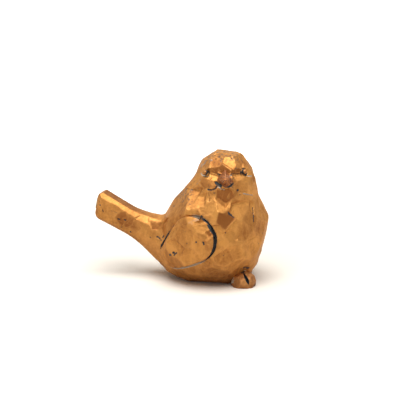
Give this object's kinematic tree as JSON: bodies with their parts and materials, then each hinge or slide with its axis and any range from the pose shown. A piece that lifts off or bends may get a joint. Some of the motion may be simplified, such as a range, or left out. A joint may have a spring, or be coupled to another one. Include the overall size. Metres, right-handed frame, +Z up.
{
  "type": "ocarina",
  "caption": "Knife-carved bird-shaped vessel flute in copper-gold painted wood, with the tail as mouthpiece, a hollow body, applied wings and a turned head.",
  "frame": {"origin": "the middle of the flat under the belly, on the surface that the bird stands on", "axes": "+X to the breast, -X to the tail, +Y to the bird's left, +Z up"},
  "size_m": [0.1057, 0.0635, 0.0794],
  "materials": {
    "gilt_wood": "carved limewood under gesso, burnished copper-gold paint, dark wash in the grooves",
    "dark_gilt_wood": "carved limewood, copper-gold paint rubbed darker and redder",
    "bare_wood": "bare turned hardwood, glued"
  },
  "bodies": {
    "root": {"body_shell_right": "gilt_wood", "body_shell_left": "gilt_wood", "seam_dowels": "bare_wood", "head": "gilt_wood", "neck_dowel": "bare_wood", "beak": "dark_gilt_wood", "eye_right": "dark_gilt_wood", "eye_left": "dark_gilt_wood", "wing_right": "gilt_wood", "wing_left": "gilt_wood", "foot_right": "dark_gilt_wood", "foot_left": "dark_gilt_wood", "wing_pegs": "bare_wood", "foot_pegs": "bare_wood", "tail_mouthpiece": "gilt_wood", "windway_block": "bare_wood"}
  },
  "joints": []
}
